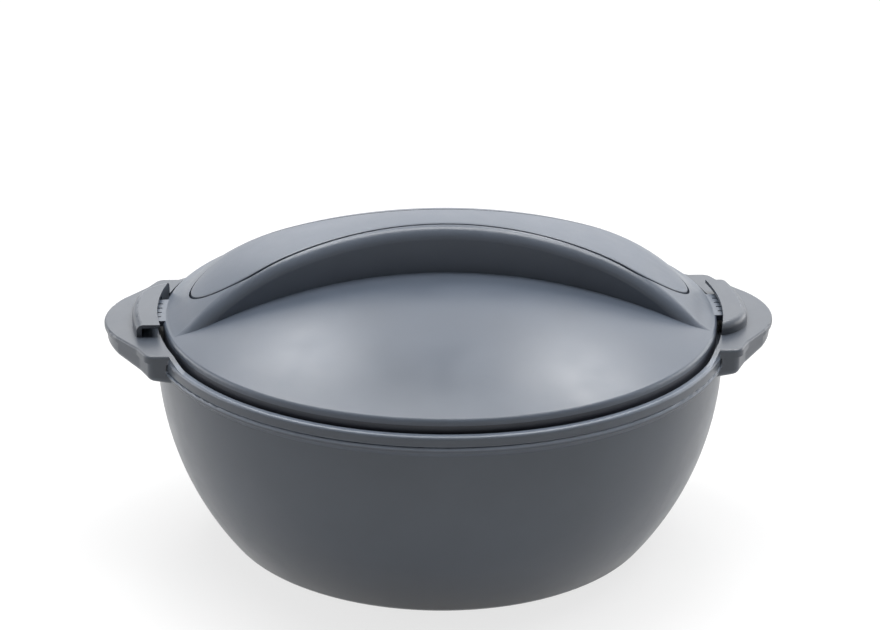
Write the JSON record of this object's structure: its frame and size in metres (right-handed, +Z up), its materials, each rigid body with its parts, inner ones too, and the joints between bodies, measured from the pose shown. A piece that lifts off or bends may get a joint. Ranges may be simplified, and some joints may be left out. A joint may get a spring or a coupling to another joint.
{
  "type": "insulated casserole",
  "caption": "Round insulated serving casserole with a steel-lined bowl, two side handles and a domed twist-lock lid with an arched ridge handle.",
  "frame": {"origin": "centre of the underside of the base, where the bowl stands on the table", "axes": "+Z up; +X through the side handles and along the lid's ridge; +Y towards the back"},
  "size_m": [0.298, 0.2558, 0.1445],
  "materials": {
    "body_plastic": "satin moulded plastic, slate grey",
    "lid_plastic": "satin moulded plastic, slate grey",
    "inlay_plastic": "satin moulded plastic, slate grey, a little smoother",
    "ring_plastic": "satin moulded plastic, slate grey",
    "pan_plastic": "fine matt moulded plastic, slate grey",
    "plug_plastic": "matt moulded plastic, dark grey",
    "liner_steel": "polished stainless steel",
    "foam": "rigid polyurethane foam, pale yellow, out of sight"
  },
  "bodies": {
    "casserole_body": {"outer_bowl": "body_plastic", "rim_collar": "body_plastic", "steel_liner": "liner_steel", "bowl_insulation": "foam", "base_plug": "plug_plastic"},
    "lid_core": {"lid_insulation": "foam"},
    "lid": {"lid_cover": "lid_plastic", "handle_inlay": "inlay_plastic", "lid_rim_ring": "ring_plastic", "lid_inner_pan": "pan_plastic", "lid_fill_plug": "plug_plastic"}
  },
  "joints": [
    {"name": "lid_lift", "type": "slide", "parent": "casserole_body", "child": "lid_core", "axis": [0, 0, 1], "range_m": [0, 0.15]},
    {"name": "lid_turn", "type": "hinge", "parent": "lid_core", "child": "lid", "pos_m": [0, 0, 0.11], "axis": [0, 0, 1], "range_deg": [0, 19]}
  ]
}
